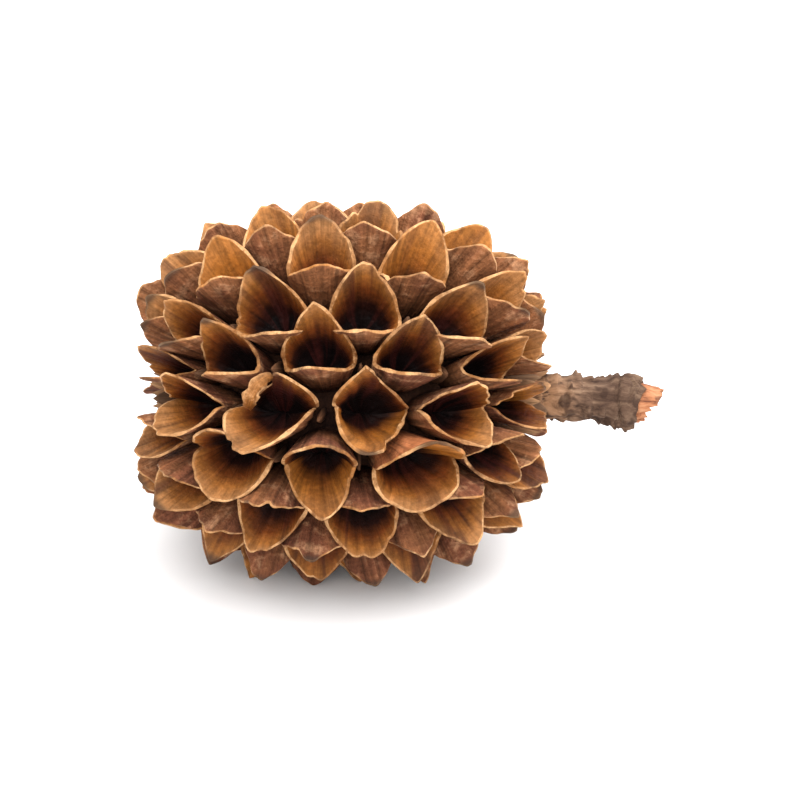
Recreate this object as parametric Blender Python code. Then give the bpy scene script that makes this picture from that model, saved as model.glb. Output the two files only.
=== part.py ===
"""A she-oak (casuarina) cone with its short stalk, lying on its side.

Run it with: blender --background --python part.py, or from Blender's text editor.

The cone's axis lies along X, with its tip towards -X and its stalk towards +X. It rests on
the plane z = 0. The woody cups stand in rings round a barrel, and every second ring is turned
by half a cup, so that the cups also run in straight columns from the tip to the stalk. Each
cup is a pair of pointed valves that gape apart across the column. A place on the cone is
given by its column, its ring and its height: 0 on the floor between the cups, 1 at the tips.
"""

import math
import random

import bmesh
import bpy
import numpy as np
from mathutils import Vector

MM = 0.001

# The barrel: two nested surfaces of the same outline, one at the valve tips and one at the
# floor of the grooves between the cups.
TIP_HALF_LENGTH = 9.2 * MM
TIP_RADIUS = 8.3 * MM
FLOOR_HALF_LENGTH = 5.9 * MM
FLOOR_RADIUS = 4.8 * MM
OUTLINE_POWER = 2.5

# The pattern of the cups
CUPS_IN_RING = 9
RINGS = 10
RING_SPACING = 2.35 * MM
EVEN_RINGS_HALF = 3.5
END_SPACING_SHARE = 0.8
COLUMNS = 2 * CUPS_IN_RING
COLUMN_TURN = 2 * math.pi / COLUMNS
FIRST_COLUMN_TURN = 0.0

# One cup. Half-widths are shares of the distance to the next column, and half-lengths are
# shares of the distance to the next ring.
CUP_SIDES = 12
OUTER_HALF_WIDTH = 0.77
OUTER_HALF_LENGTH = 0.75
INNER_HALF_WIDTH = 0.55
INNER_HALF_LENGTH = 0.48
FOOT_HALF_WIDTH = 0.60
FOOT_HALF_LENGTH = 0.64
FOOT_HEIGHT = 0.24
HOLLOW_HALF_WIDTH = 0.27
HOLLOW_HALF_LENGTH = 0.34
HOLLOW_HEIGHT = 0.10
HOLLOW_CENTRE_HEIGHT = 0.05
NOTCH_HEIGHT = 0.48
PLAN_POWER = 1.5
ARCH_POWER = 1.6

# What lies between the cups
GROOVE_HEIGHT = 0.18
BRACT_HEIGHT = 0.55
BRACT_LEAN = 0.10
SCALE_HEIGHT = 0.85
SCALE_RING_SHIFT = 0.05
TIP_SCALE_HEIGHT = 0.80

# How much the cups differ from each other, from one seeded draw
SEED = 11
HEIGHT_SPREAD = 0.055
SHIFT_SPREAD = 0.02
TWIST_SPREAD = 0.05

# The stalk, which starts at the boss in the middle of the cone's base
BOSS_RADIUS = 1.05 * MM
BOSS_HEIGHT = 0.30
STALK_GAP = 0.30 * MM
STALK_END = 13.6 * MM
STALK_RADIUS = 0.93 * MM
STALK_SIDES = 14
STALK_STATIONS = 16
STALK_DROP = 0.35 * MM
KNUCKLES = ((0.40, 0.07, 0.08 * MM), (0.76, 0.09, 0.26 * MM))
BREAK_SLANT = 1.3 * MM
BREAK_TAPER = 0.85

# The lowest tips are worn to small flat spots on the plane that the cone rests on
WORN_DEPTH = 0.42 * MM

CONE_COLOUR = (0.36, 0.19, 0.085, 1.0)
STALK_COLOUR = (0.20, 0.135, 0.095, 1.0)
SMOOTH_ANGLE = math.radians(28)


def outline(angle, half_length, radius):
    """The distance along the axis and from it, at an angle counted from the cone's tip."""
    power = 2 / OUTLINE_POWER
    along = -math.copysign(abs(math.cos(angle)) ** power, math.cos(angle))
    return half_length * along, radius * math.sin(angle) ** power


def outline_table():
    """Angles from tip to stalk, and the length along the outer outline from its middle."""
    angles = np.linspace(1e-9, math.pi - 1e-9, 4001)
    points = np.array([outline(a, TIP_HALF_LENGTH, TIP_RADIUS) for a in angles])
    steps = np.hypot(*np.diff(points, axis=0).T)
    lengths = np.concatenate([[0.0], np.cumsum(steps)])
    return angles, lengths - lengths[-1] / 2


ANGLES, LENGTHS = outline_table()


def ring_angle(ring):
    """The outline's angle at a ring, which may lie between two rings. The end rings are closer."""
    steps = ring - (RINGS - 1) / 2
    even = min(abs(steps), EVEN_RINGS_HALF)
    crowded = abs(steps) - even
    length = math.copysign(even + crowded * END_SPACING_SHARE, steps) * RING_SPACING
    return float(np.interp(length, LENGTHS, ANGLES))


def cone_point(column, ring, height):
    """The point at a place of the cone, about the cone's own middle."""
    half_length = FLOOR_HALF_LENGTH + height * (TIP_HALF_LENGTH - FLOOR_HALF_LENGTH)
    radius = FLOOR_RADIUS + height * (TIP_RADIUS - FLOOR_RADIUS)
    along, out = outline(ring_angle(ring), half_length, radius)
    turn = FIRST_COLUMN_TURN + column * COLUMN_TURN
    return Vector((along, -out * math.cos(turn), out * math.sin(turn)))


def plan_direction(side):
    """Shares of a cup's half-width and half-length at one side of its rounded diamond plan."""
    turn = 2 * math.pi * side / CUP_SIDES
    power = 2 / PLAN_POWER
    across = math.copysign(abs(math.cos(turn)) ** power, math.cos(turn))
    along = math.copysign(abs(math.sin(turn)) ** power, math.sin(turn))
    return across, along


def arch(along):
    """The pointed arch of a valve's edge: 1 at its tip and 0 at the notch beside it."""
    return (1 - min(1.0, abs(along))) ** (1 / ARCH_POWER)


def draw_cup_shapes():
    """The tip heights, shift and twist of every cup, keyed by its place."""
    draw = random.Random(SEED)
    shapes = {}
    for ring in range(RINGS):
        for number in range(CUPS_IN_RING):
            shapes[ring, number] = {
                "tips": [1 + draw.uniform(-1, 1) * HEIGHT_SPREAD for _ in range(2)],
                "shift": [draw.uniform(-1, 1) * SHIFT_SPREAD for _ in range(2)],
                "twist": draw.uniform(-1, 1) * TWIST_SPREAD,
            }
    return shapes


class ConeMesh:
    """Builds the cone's closed surface, cup by cup, with the corners between cups shared."""

    def __init__(self):
        self.bm = bmesh.new()
        self.shared = {}

    def vertex(self, column, ring, height):
        return self.bm.verts.new(cone_point(column, ring, height))

    def border_vertex(self, column, ring):
        """A point on the border between cups. Borders meet at whole places, where a bract stands."""
        key = (round(3 * column) % (3 * COLUMNS), round(3 * ring))
        if key not in self.shared:
            is_bract = key[0] % 3 == 0 and key[1] % 3 == 0
            height = BRACT_HEIGHT if is_bract else GROOVE_HEIGHT
            lean = BRACT_LEAN if is_bract else 0.0
            self.shared[key] = self.vertex(column, ring - lean, height)
        return self.shared[key]

    def border(self, column, ring):
        """The border of the cup at a place: a diamond with its corners at the next places."""
        corners = ((1, 0), (0, 1), (-1, 0), (0, -1))
        steps = CUP_SIDES // 4
        found = []
        for side in range(CUP_SIDES):
            here, there = corners[side // steps], corners[(side // steps + 1) % 4]
            share = (side % steps) / steps
            across = here[0] + share * (there[0] - here[0])
            along = here[1] + share * (there[1] - here[1])
            found.append(self.border_vertex(column + across, ring + along))
        return found

    def cup_ring(self, column, ring, shape, half_width, half_length, height_of):
        """One ring of a cup's points. height_of gives a height from a share along the cup."""
        found = []
        for side in range(CUP_SIDES):
            across, along = plan_direction(side)
            tip = shape["tips"][0 if across > 0 else 1]
            u = across * half_width - along * half_length * shape["twist"] + shape["shift"][0]
            v = along * half_length + across * half_width * shape["twist"] + shape["shift"][1]
            found.append(self.vertex(column + u, ring + v, height_of(along, tip)))
        return found

    def band(self, outer, inner):
        """Faces between two rings of the same number of points."""
        for side in range(len(outer)):
            after = (side + 1) % len(outer)
            self.bm.faces.new((outer[side], outer[after], inner[after], inner[side]))

    def fan(self, ring, centre):
        """Faces from a closed ring of points to one point inside it."""
        for side in range(len(ring)):
            self.bm.faces.new((ring[side], ring[(side + 1) % len(ring)], centre))

    def cup(self, column, ring, shape):
        """One cup: up its outer wall from the border, over the edge and down to its hollow."""

        def edge_height(along, tip):
            return NOTCH_HEIGHT + (tip - NOTCH_HEIGHT) * arch(along)

        rings = [
            self.border(column, ring),
            self.cup_ring(column, ring, shape, FOOT_HALF_WIDTH, FOOT_HALF_LENGTH,
                          lambda along, tip: FOOT_HEIGHT),
            self.cup_ring(column, ring, shape, OUTER_HALF_WIDTH, OUTER_HALF_LENGTH, edge_height),
            self.cup_ring(column, ring, shape, INNER_HALF_WIDTH, INNER_HALF_LENGTH, edge_height),
            self.cup_ring(column, ring, shape, HOLLOW_HALF_WIDTH, HOLLOW_HALF_LENGTH,
                          lambda along, tip: HOLLOW_HEIGHT),
        ]
        for outer, inner in zip(rings, rings[1:]):
            self.band(outer, inner)
        self.fan(rings[-1], self.vertex(column, ring, HOLLOW_CENTRE_HEIGHT))

    def end_border(self, column, ring, outwards):
        """The border from one end corner, in between two cups and out to the next end corner."""
        first = [(column + share / 3, ring + outwards * (1 - share / 3)) for share in range(4)]
        second = [(column + 1 + share / 3, ring + outwards * share / 3) for share in range(1, 4)]
        return [self.border_vertex(*place) for place in first + second]

    def tip_cap(self):
        """Closes the cone at its tip: a scale between each two cups, round a middle point."""
        pole = self.bm.verts.new(cone_point(0, -20, TIP_SCALE_HEIGHT))
        for number in range(CUPS_IN_RING):
            column = 2 * number
            edge = self.end_border(column, 0, -1)
            peak = self.vertex(column + 1, -1 + SCALE_RING_SHIFT, SCALE_HEIGHT)
            self.fan(edge + [pole], peak)

    def base_cap(self):
        """Closes the cone at its base: a scale between each two cups, round the stalk's boss."""
        last = RINGS - 1
        start = last % 2
        boss_x = boss_face()
        boss = []
        for column in range(COLUMNS):
            turn = FIRST_COLUMN_TURN + column * COLUMN_TURN
            side = Vector((0, -math.cos(turn), math.sin(turn))) * BOSS_RADIUS
            boss.append(self.bm.verts.new(side + Vector((boss_x, 0, 0))))
        for number in range(CUPS_IN_RING):
            column = start + 2 * number
            edge = self.end_border(column, last, 1)
            inner = [boss[(column + step) % COLUMNS] for step in (2, 1, 0)]
            peak = self.vertex(column + 1, last + 1 - SCALE_RING_SHIFT, SCALE_HEIGHT)
            self.fan(edge + inner, peak)
        self.bm.faces.new(boss)

    def build(self):
        shapes = draw_cup_shapes()
        for (ring, number), shape in shapes.items():
            self.cup(2 * number + ring % 2, ring, shape)
        self.tip_cap()
        self.base_cap()
        return self.bm


def boss_face():
    """Where the flat face of the boss stands along the axis."""
    return FLOOR_HALF_LENGTH + BOSS_HEIGHT * (TIP_HALF_LENGTH - FLOOR_HALF_LENGTH)


def wear_flat(bm, level):
    """Cuts away all that is below a level and closes the cuts with flat faces."""
    everything = bm.verts[:] + bm.edges[:] + bm.faces[:]
    cut = bmesh.ops.bisect_plane(
        bm, geom=everything, plane_co=(0, 0, level), plane_no=(0, 0, 1), clear_inner=True
    )
    edges = [item for item in cut["geom_cut"] if isinstance(item, bmesh.types.BMEdge)]
    bmesh.ops.holes_fill(bm, edges=edges, sides=0)


def build_cone():
    bm = ConeMesh().build()
    bmesh.ops.recalc_face_normals(bm, faces=bm.faces)
    lowest = min(vertex.co.z for vertex in bm.verts)
    wear_flat(bm, lowest + WORN_DEPTH)
    bmesh.ops.triangulate(bm, faces=bm.faces)
    return bm


def stalk_radius(share):
    """The stalk's radius at a share of its length: swollen at its knuckles."""
    swelling = sum(
        rise * math.exp(-(((share - place) / width) ** 2)) for place, width, rise in KNUCKLES
    )
    return STALK_RADIUS + swelling


def build_stalk():
    """The stalk: a disc extruded from ring to ring, with its far end broken off at a slant."""
    start = boss_face() + STALK_GAP
    length = STALK_END - start
    bm = bmesh.new()
    made = bmesh.ops.create_circle(bm, cap_ends=True, radius=STALK_RADIUS, segments=STALK_SIDES)
    for vertex in made["verts"]:
        vertex.co = Vector((start, vertex.co.x, vertex.co.y))
    end = bm.faces[:][0]
    for station in range(1, STALK_STATIONS + 1):
        share = station / STALK_STATIONS
        grown = bmesh.ops.extrude_face_region(bm, geom=[end])
        if station > 1:
            bmesh.ops.delete(bm, geom=[end], context="FACES_ONLY")
        end = next(item for item in grown["geom"] if isinstance(item, bmesh.types.BMFace))
        ring = [item for item in grown["geom"] if isinstance(item, bmesh.types.BMVert)]
        radius = stalk_radius(share) * (BREAK_TAPER if station == STALK_STATIONS else 1)
        centre = Vector((start + share * length, 0, -STALK_DROP * share**2))
        middle = sum((vertex.co for vertex in ring), Vector()) / len(ring)
        for vertex in ring:
            side = vertex.co - middle
            side.x = 0
            side = side.normalized() * radius
            slant = BREAK_SLANT * share**3 * (side.z / radius - 1) / 2
            vertex.co = centre + side + Vector((slant, 0, 0))
    bmesh.ops.recalc_face_normals(bm, faces=bm.faces)
    bmesh.ops.triangulate(bm, faces=bm.faces)
    return bm


def material(name, colour, roughness):
    made = bpy.data.materials.new(name)
    made.use_nodes = True
    shader = made.node_tree.nodes["Principled BSDF"]
    shader.inputs["Base Color"].default_value = colour
    shader.inputs["Roughness"].default_value = roughness
    shader.inputs["Metallic"].default_value = 0.0
    return made


def add_object(name, bm, finish):
    """Makes one named object from a mesh and shades its round parts smooth."""
    mesh = bpy.data.meshes.new(name)
    bm.to_mesh(mesh)
    bm.free()
    mesh.shade_smooth()
    mesh.set_sharp_from_angle(angle=SMOOTH_ANGLE)
    mesh.materials.append(finish)
    made = bpy.data.objects.new(name, mesh)
    bpy.context.scene.collection.objects.link(made)
    return made


def set_down(objects):
    """Moves the pieces together so that the origin is the bottom centre of their box."""
    points = np.array([vertex.co for made in objects for vertex in made.data.vertices])
    low, high = points.min(axis=0), points.max(axis=0)
    middle = (low + high) / 2
    for made in objects:
        made.location = (-middle[0], -middle[1], -low[2])


def main():
    for old in list(bpy.data.objects):
        bpy.data.objects.remove(old)
    cone = add_object("cone", build_cone(), material("cone_wood", CONE_COLOUR, 0.75))
    stalk = add_object("stalk", build_stalk(), material("stalk_bark", STALK_COLOUR, 0.85))
    set_down([cone, stalk])


main()
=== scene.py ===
"""The looks of a she-oak (casuarina) cone with its short stalk, lying on its side.

The cone's axis lies along X, with its tip towards -X and its stalk towards +X. A place on the
cone is given by its column, its ring and its height: 0 on the floor between the cups, 1 at the
tips of their valves. The same places carry the solids, so every cup here stands on its own
solid cup.
"""

import logging
import math
import random
from dataclasses import dataclass
from enum import Enum

import bpy
import numpy as np
from mathutils import Matrix, Vector


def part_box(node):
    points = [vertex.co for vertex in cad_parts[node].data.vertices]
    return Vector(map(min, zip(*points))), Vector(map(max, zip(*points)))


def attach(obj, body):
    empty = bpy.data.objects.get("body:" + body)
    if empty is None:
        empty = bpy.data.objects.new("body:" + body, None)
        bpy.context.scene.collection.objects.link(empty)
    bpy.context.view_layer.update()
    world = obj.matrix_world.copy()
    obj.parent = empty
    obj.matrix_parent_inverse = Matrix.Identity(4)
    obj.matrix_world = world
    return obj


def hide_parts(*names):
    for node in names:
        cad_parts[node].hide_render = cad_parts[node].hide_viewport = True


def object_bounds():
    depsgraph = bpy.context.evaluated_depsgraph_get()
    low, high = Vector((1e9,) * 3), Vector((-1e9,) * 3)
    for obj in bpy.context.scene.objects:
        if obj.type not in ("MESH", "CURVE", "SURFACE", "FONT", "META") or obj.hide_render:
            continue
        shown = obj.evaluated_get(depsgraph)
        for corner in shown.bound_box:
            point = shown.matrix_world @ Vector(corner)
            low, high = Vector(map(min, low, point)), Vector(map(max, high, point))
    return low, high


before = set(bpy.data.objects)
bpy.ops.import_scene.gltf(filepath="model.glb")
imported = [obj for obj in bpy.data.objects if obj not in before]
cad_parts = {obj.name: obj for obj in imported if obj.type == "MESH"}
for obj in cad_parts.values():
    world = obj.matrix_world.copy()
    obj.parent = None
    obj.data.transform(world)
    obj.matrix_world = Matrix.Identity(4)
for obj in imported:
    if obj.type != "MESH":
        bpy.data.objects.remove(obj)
CAD_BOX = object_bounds()

MM = 0.001
TURN = 2 * math.pi
# Phases are drawn up to this many radians, just short of a turn.
PHASES = 6.28
# What would reach below the table is worn down within about this depth.
WORN_DEPTH = 0.12 * MM
LOG = logging.getLogger("casuarina_cone")
Colour = tuple[float, float, float]
Pair = tuple[float, float]
# How much of a noise's light and dark shows on a colour, and its lowest and highest light.
Lights = tuple[float, float, float]
# How many waves run round a ring, and how deep they are.
Waves = tuple[range, float]


# Places on the cone


@dataclass(frozen=True)
class Lattice:
    """The nested barrels that carry the cone's pattern, with the sizes of the solids."""

    tip_half_length: float = 9.2 * MM
    tip_radius: float = 8.3 * MM
    floor_half_length: float = 5.9 * MM
    floor_radius: float = 4.8 * MM
    outline_power: float = 2.5
    cups_in_ring: int = 9
    rings: int = 10
    ring_spacing: float = 2.35 * MM
    even_rings_half: float = 3.5
    end_spacing_share: float = 0.8
    stalk_end: float = 13.6 * MM
    stalk_top: float = 0.99 * MM
    outline_steps: int = 4001
    pole_gap: float = 1e-9

    @property
    def columns(self) -> int:
        """The number of straight columns of cups round the cone."""
        return 2 * self.cups_in_ring

    @property
    def column_width(self) -> float:
        """The distance between two columns at the valve tips."""
        return TURN * self.tip_radius / self.columns

    def middle(self) -> Vector:
        """The cone's own middle in the row frame, worked out from where the stalk lies."""
        low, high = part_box("stalk")
        return Vector((high.x - self.stalk_end, (low.y + high.y) / 2, high.z - self.stalk_top))

    def barrel(self, height: np.ndarray) -> tuple[np.ndarray, np.ndarray]:
        """Half the length and the largest radius of the barrel at a height."""
        half_length = self.floor_half_length + height * (self.tip_half_length - self.floor_half_length)
        return half_length, self.floor_radius + height * (self.tip_radius - self.floor_radius)

    def outline(
        self, angle: np.ndarray, half_length: np.ndarray, radius: np.ndarray
    ) -> tuple[np.ndarray, np.ndarray]:
        """The barrel's outline.

        Args:
            angle: The angle counted from the cone's tip, up to pi at the stalk.
            half_length: Half the barrel's length at that place.
            radius: The barrel's largest radius at that place.

        Returns:
            The distances along the axis and away from it.
        """
        power = 2 / self.outline_power
        cosine = np.cos(angle)
        along = -np.copysign(np.abs(cosine) ** power, cosine)
        return half_length * along, radius * np.abs(np.sin(angle)) ** power

    def angles(self, ring: np.ndarray) -> np.ndarray:
        """The outline's angles at rings.

        Args:
            ring: Rings, which may lie between two rings.

        Returns:
            The angle of each, counted from the cone's tip.
        """
        table = np.linspace(self.pole_gap, math.pi - self.pole_gap, self.outline_steps)
        along, out = self.outline(table, self.tip_half_length, self.tip_radius)
        lengths = np.concatenate([[0.0], np.cumsum(np.hypot(np.diff(along), np.diff(out)))])
        lengths -= lengths[-1] / 2
        steps = ring - (self.rings - 1) / 2
        even = np.minimum(np.abs(steps), self.even_rings_half)
        crowded = np.abs(steps) - even
        wanted = np.copysign(even + crowded * self.end_spacing_share, steps)
        return np.interp(wanted * self.ring_spacing, lengths, table)

    def points(self, column: np.ndarray, ring: np.ndarray, height: np.ndarray) -> np.ndarray:
        """Places on the cone as points in the row frame.

        Args:
            column: Columns, which may lie between two columns.
            ring: Rings, which may lie between two rings.
            height: Heights, 0 on the floor and 1 at the valve tips.

        Returns:
            One row of three coordinates for each place.
        """
        along, out = self.outline(self.angles(ring), *self.barrel(height))
        return self.placed(along, out, column * TURN / self.columns)

    def placed(self, along: np.ndarray, out: np.ndarray, turn: np.ndarray) -> np.ndarray:
        """Points round the cone's axis in the row frame.

        Args:
            along: Distances along the axis from the cone's middle.
            out: Distances from the axis.
            turn: Angles round the axis, 0 in front and a quarter turn on top.

        Returns:
            One row of three coordinates for each point.
        """
        middle = self.middle()
        across, up = out * np.cos(turn), out * np.sin(turn)
        return np.stack([middle.x + along, middle.y - across, middle.z + up], axis=-1)


LATTICE = Lattice()


# Mesh helpers


def deselect_all() -> None:
    """Leaves object mode with nothing selected."""
    if bpy.context.object and bpy.context.object.mode != "OBJECT":
        bpy.ops.object.mode_set(mode="OBJECT")
    bpy.ops.object.select_all(action="DESELECT")


def coordinates(piece: bpy.types.Object) -> np.ndarray:
    """Reads where the vertices of a mesh object are.

    Args:
        piece: The mesh object.

    Returns:
        One row of three numbers for each vertex.
    """
    found = np.zeros(len(piece.data.vertices) * 3)
    piece.data.vertices.foreach_get("co", found)
    return found.reshape(-1, 3)


def place_vertices(piece: bpy.types.Object, points: np.ndarray) -> None:
    """Moves the vertices of a mesh object to new points."""
    piece.data.vertices.foreach_set("co", points.astype(np.float32).ravel())
    piece.data.update()


def paint(piece: bpy.types.Object, name: str, values: np.ndarray) -> None:
    """Stores one number or one vector for each vertex, for the materials to read.

    Args:
        piece: The mesh object.
        name: The attribute's name.
        values: One number, or one row of three numbers, for each vertex.
    """
    is_vector = values.ndim == 2
    kind = "FLOAT_VECTOR" if is_vector else "FLOAT"
    attribute = piece.data.attributes.get(name) or piece.data.attributes.new(name, kind, "POINT")
    attribute.data.foreach_set("vector" if is_vector else "value", values.astype(np.float32).ravel())


def tube(name: str, sides: int, levels: int, mirrored: bool = False) -> bpy.types.Object:
    """A closed tube, extruded level by level from a circle, whose z counts the levels.

    Args:
        name: The object's name.
        sides: The number of sides.
        levels: The number of rings of vertices.
        mirrored: Whether the shape that it is moved to is a mirrored one.

    Returns:
        The tube, with a pole in the middle of each end.
    """
    deselect_all()
    bpy.ops.mesh.primitive_circle_add(vertices=sides, radius=1.0, fill_type="TRIFAN")
    made = bpy.context.object
    made.name = name
    bpy.ops.object.mode_set(mode="EDIT")
    bpy.ops.mesh.select_all(action="SELECT")
    for _ in range(levels - 1):
        bpy.ops.mesh.extrude_region_move(TRANSFORM_OT_translate={"value": (0, 0, 1)})
    bpy.ops.mesh.select_all(action="SELECT")
    bpy.ops.mesh.normals_make_consistent(inside=mirrored)
    bpy.ops.object.mode_set(mode="OBJECT")
    return made


def tube_places(piece: bpy.types.Object) -> tuple[np.ndarray, np.ndarray, np.ndarray]:
    """Where the vertices of a fresh tube stand.

    Args:
        piece: The tube.

    Returns:
        Each vertex's angle round the tube, its level, and 1 on the wall or 0 on a pole.
    """
    found = coordinates(piece)
    wall = (np.hypot(found[:, 0], found[:, 1]) > 0.5).astype(float)
    return np.arctan2(found[:, 1], found[:, 0]), np.rint(found[:, 2]).astype(int), wall


def copy_of(piece: bpy.types.Object, name: str) -> bpy.types.Object:
    """Copies a mesh object with its mesh.

    Args:
        piece: The object.
        name: The copy's name.

    Returns:
        The copy, which is in the scene.
    """
    made = piece.copy()
    made.data = piece.data.copy()
    made.name = name
    bpy.context.scene.collection.objects.link(made)
    return made


def joined(pieces: list[bpy.types.Object], name: str) -> bpy.types.Object:
    """Joins mesh objects into one.

    Args:
        pieces: The objects, which become one.
        name: The name of the object that they become.

    Returns:
        The one object.
    """
    deselect_all()
    for piece in pieces:
        piece.select_set(True)
    bpy.context.view_layer.objects.active = pieces[0]
    bpy.ops.object.join()
    made = bpy.context.object
    made.name = name
    made.data.name = name
    return made


def finish_piece(piece: bpy.types.Object, material: bpy.types.Material, node: str) -> None:
    """Shades a piece smooth, dresses it and lets it stand for a node of the frame.

    Args:
        piece: The finished mesh object.
        material: Its material.
        node: The node that it stands for, whose solid it hides.
    """
    points = coordinates(piece)
    points[:, 2] = WORN_DEPTH * np.logaddexp(0, points[:, 2] / WORN_DEPTH)
    place_vertices(piece, points)
    piece.data.shade_smooth()
    piece.data.materials.clear()
    piece.data.materials.append(material)
    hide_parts(node)
    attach(piece, "root")


def waves(angle: np.ndarray, draw: random.Random, turns: range, size: float) -> np.ndarray:
    """A smooth random waviness round a closed ring.

    Args:
        angle: The angles round the ring.
        draw: The random source.
        turns: How many waves each part of it has round the ring.
        size: The size of each part.

    Returns:
        The waviness at each angle.
    """
    total = np.zeros_like(angle)
    for count in turns:
        total += draw.uniform(0.4, 1.0) * np.sin(count * angle + draw.uniform(0, TURN))
    return size * total / math.sqrt(len(turns))


def around(draw: random.Random, middle: float, spread: float, count: int = 2) -> np.ndarray:
    """Random values that lie around a middle."""
    return np.array([middle + draw.uniform(-1, 1) * spread for _ in range(count)])


def angle_from(place: float, angle: np.ndarray) -> np.ndarray:
    """How far angles lie from a place on a ring, from minus half a turn to half a turn."""
    return (angle - place + math.pi) % TURN - math.pi


def smooth_step(low: float, high: float, value: np.ndarray) -> np.ndarray:
    """0 below low, 1 above high, and a smooth rise in between."""
    share = np.clip((value - low) / (high - low), 0, 1)
    return share * share * (3 - 2 * share)


# Shaders


class Wire:
    """A shader socket that Python arithmetic adds Math nodes to."""

    def __init__(self, shader: "Shader", socket: bpy.types.NodeSocket) -> None:
        """Wraps one output socket."""
        self.shader = shader
        self.socket = socket

    def _maths(self, operation: str, first: object, second: object) -> "Wire":
        """One Math node on two values, either of which may be a wire or a number."""
        return self.shader.node("ShaderNodeMath", {"operation": operation}, {0: first, 1: second})

    def __add__(self, other: object) -> "Wire":
        """This value and another."""
        return self._maths("ADD", self, other)

    def __radd__(self, other: object) -> "Wire":
        """Another value and this one."""
        return self._maths("ADD", other, self)

    def __sub__(self, other: object) -> "Wire":
        """This value less another."""
        return self._maths("SUBTRACT", self, other)

    def __rsub__(self, other: object) -> "Wire":
        """Another value less this one."""
        return self._maths("SUBTRACT", other, self)

    def __mul__(self, other: object) -> "Wire":
        """This value times another."""
        return self._maths("MULTIPLY", self, other)

    def __rmul__(self, other: object) -> "Wire":
        """Another value times this one."""
        return self._maths("MULTIPLY", other, self)

    def clamped(self) -> "Wire":
        """This value kept between 0 and 1."""
        return self.shader.node("ShaderNodeClamp", {}, {"Value": self})


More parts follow.
